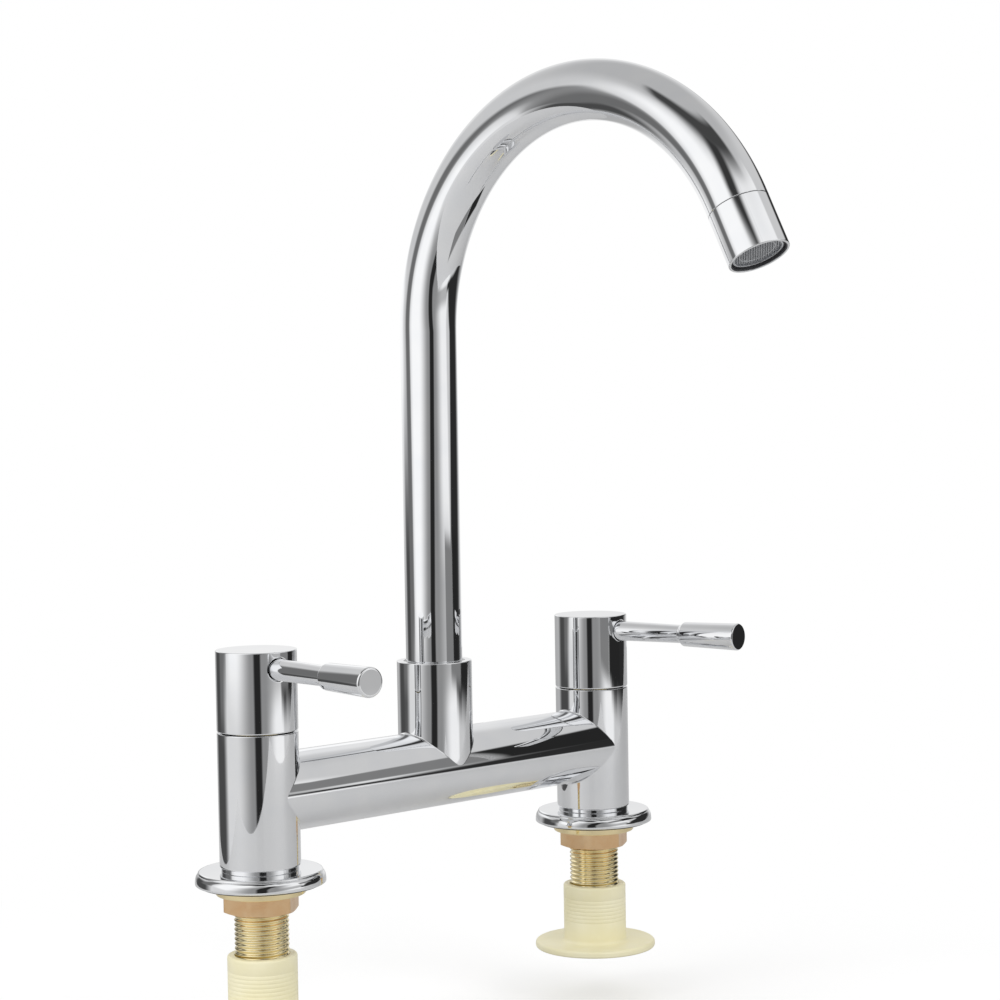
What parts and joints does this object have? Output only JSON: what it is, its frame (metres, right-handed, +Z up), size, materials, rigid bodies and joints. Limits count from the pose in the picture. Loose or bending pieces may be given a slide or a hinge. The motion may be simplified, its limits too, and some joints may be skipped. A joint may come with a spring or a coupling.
{
  "type": "two handle kitchen faucet",
  "caption": "Bridge kitchen mixer with two lever handles, quarter turn cartridges, a swivelling gooseneck spout with an aerator, and threaded shanks with mounting nuts.",
  "frame": {"origin": "on the worktop surface, midway between the two shank axes, at the underside of the base gaskets", "axes": "+X along the bridge from the left to the right pillar, -Y to the front where the spout points, +Z up"},
  "size_m": [0.2316, 0.2119, 0.3642],
  "materials": {
    "chrome": "mirror polished chrome plate",
    "bright_brass": "turned bright brass",
    "cast_brass": "cast and tumbled brass with a copper tint",
    "cream_plastic": "unpainted moulded nylon",
    "white_plastic": "moulded acetal",
    "grey_plastic": "moulded acetal",
    "black_rubber": "soft black rubber",
    "white_ceramic": "lapped alumina ceramic",
    "steel": "stainless steel"
  },
  "bodies": {
    "root": {"left_valve_body": "chrome", "left_base_flange": "chrome", "left_base_gasket": "black_rubber", "left_threaded_shank": "bright_brass", "left_lock_nut": "cast_brass", "left_cartridge_body": "bright_brass", "left_seat_seal": "black_rubber", "left_fixed_disc": "white_ceramic", "right_valve_body": "chrome", "right_base_flange": "chrome", "right_base_gasket": "black_rubber", "right_threaded_shank": "bright_brass", "right_lock_nut": "cast_brass", "right_cartridge_body": "bright_brass", "right_seat_seal": "black_rubber", "right_fixed_disc": "white_ceramic", "bridge_tube": "chrome", "spout_socket": "chrome", "grub_screw": "steel", "slip_ring": "white_plastic"},
    "left_handle": {"left_handle_cap": "chrome", "left_handle_core": "white_plastic", "left_lever": "chrome", "left_spindle": "bright_brass", "left_moving_disc": "white_ceramic", "left_spindle_ring": "black_rubber", "left_retaining_clip": "steel"},
    "right_handle": {"right_handle_cap": "chrome", "right_handle_core": "white_plastic", "right_lever": "chrome", "right_spindle": "bright_brass", "right_moving_disc": "white_ceramic", "right_spindle_ring": "black_rubber", "right_retaining_clip": "steel"},
    "spout": {"gooseneck_tube": "chrome", "spout_ferrule": "bright_brass", "lower_sealing_ring": "black_rubber", "upper_sealing_ring": "black_rubber", "outlet_bush": "bright_brass"},
    "aerator_core": {"aerator_washer": "black_rubber", "aerator_insert": "grey_plastic", "aerator_screen": "steel"},
    "aerator_collar": {"aerator_collar": "chrome"},
    "left_mounting_nut": {"left_mounting_nut": "cream_plastic"},
    "right_mounting_nut": {"right_mounting_nut": "cream_plastic"}
  },
  "joints": [
    {"name": "spout_swivel", "type": "hinge", "parent": "root", "child": "spout", "pos_m": [0, 0, 0], "axis": [0, 0, 1], "continuous": true},
    {"name": "left_handle_turn", "type": "hinge", "parent": "root", "child": "left_handle", "pos_m": [-0.09, 0, 0], "axis": [0, 0, 1], "range_deg": [-86.2, 3.8]},
    {"name": "right_handle_turn", "type": "hinge", "parent": "root", "child": "right_handle", "pos_m": [0.09, 0, 0], "axis": [0, 0, 1], "range_deg": [-10.8, 79.2]},
    {"name": "left_nut_travel", "type": "slide", "parent": "root", "child": "left_mounting_nut", "axis": [0, 0, 1], "range_m": [-0.022, 0.0162]},
    {"name": "right_nut_travel", "type": "slide", "parent": "root", "child": "right_mounting_nut", "axis": [0, 0, 1], "range_m": [-0.022, 0.0162]},
    {"name": "aerator_travel", "type": "slide", "parent": "spout", "child": "aerator_core", "axis": [0, -0.4617, -0.887], "range_m": [0, 0.005]},
    {"name": "aerator_turn", "type": "hinge", "parent": "aerator_core", "child": "aerator_collar", "pos_m": [0, -0.17612, 0.2318], "axis": [0, -0.4617, -0.887], "range_deg": [0, 1800]}
  ],
  "couplings": [
    {"joint": "aerator_travel", "follows": "aerator_turn", "m_per_rad": 0.00015915}
  ]
}
